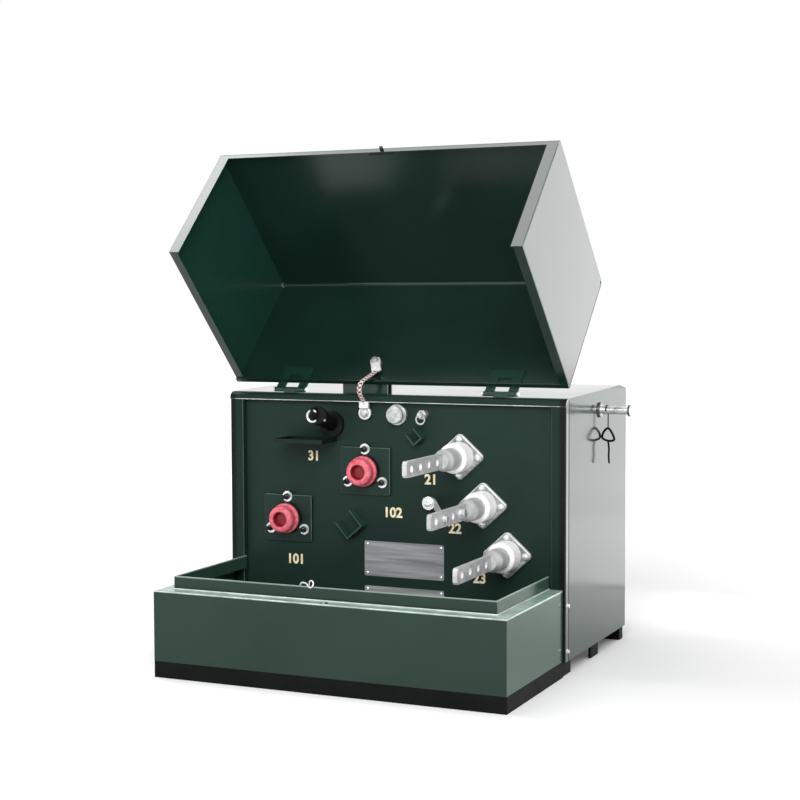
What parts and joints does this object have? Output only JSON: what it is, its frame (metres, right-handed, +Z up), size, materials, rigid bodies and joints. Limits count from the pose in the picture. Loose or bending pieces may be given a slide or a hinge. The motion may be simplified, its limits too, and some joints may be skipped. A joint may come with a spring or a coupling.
{
  "type": "single-phase pad-mounted transformer",
  "caption": "Pad-mounted power transformer: steel tank with a sloping roof, a low cable sill and a hinged hood, shown open over its bushing wells and spade terminals.",
  "frame": {"origin": "middle of the part's footprint, at ground level", "axes": "+Z up, -Y out of the front with the bushings, +X to the right seen from the front"},
  "size_m": [0.955, 0.8, 1.1359],
  "materials": {
    "green_paint": "gloss dark green enamel",
    "black_base": "satin black undercoat",
    "plated_steel": "zinc plated",
    "black_moulding": "moulded epoxy",
    "dark_clamp": "painted casting",
    "red_cap": "moulded polyethylene",
    "cast_flange": "cast",
    "white_insulator": "moulded epoxy",
    "tinned_metal": "tin plated",
    "copper_strap": "braided and tinned at the ends",
    "bare_plate": "satin anodised"
  },
  "bodies": {
    "tank": {"tank_body": "green_paint", "tank_cover": "green_paint", "front_plate": "green_paint", "frame_top": "green_paint", "frame_left": "green_paint", "frame_right": "green_paint", "sill_front": "green_paint", "sill_left": "green_paint", "sill_right": "green_paint", "hinge_bases": "green_paint", "hood_stop": "green_paint", "fuse_tray": "green_paint", "parking_stands": "green_paint", "base_angles": "black_base", "feet": "black_base", "rear_rail": "black_base", "hinge_pins": "plated_steel", "earth_bosses": "plated_steel", "lift_pins": "plated_steel", "relief_valve": "plated_steel", "fill_cap": "plated_steel", "hv_well_a": "black_moulding", "hv_well_b": "black_moulding", "fuse_holder": "black_moulding", "hv_clamp_a": "dark_clamp", "hv_clamp_b": "dark_clamp", "hv_cap_a": "red_cap", "hv_cap_b": "red_cap", "lv_flange_1": "cast_flange", "lv_flange_2": "cast_flange", "lv_flange_3": "cast_flange", "lv_insulator_1": "white_insulator", "lv_insulator_2": "white_insulator", "lv_insulator_3": "white_insulator", "lv_spade_1": "tinned_metal", "lv_spade_2": "tinned_metal", "lv_spade_3": "tinned_metal", "bond_strap": "copper_strap", "neutral_strap": "copper_strap", "name_plate": "bare_plate", "lower_plate": "bare_plate"},
    "hood": {"hood_top": "green_paint", "hood_front": "green_paint", "hood_left": "green_paint", "hood_right": "green_paint", "hood_latch": "green_paint", "hood_boss": "plated_steel", "hinge_leaves": "green_paint"}
  },
  "joints": [
    {"name": "hood_hinge", "type": "hinge", "parent": "tank", "child": "hood", "pos_m": [0, -0.049, 0.601], "axis": [1, 0, 0], "range_deg": [0, 135], "deforming": ["bond_strap"]}
  ]
}
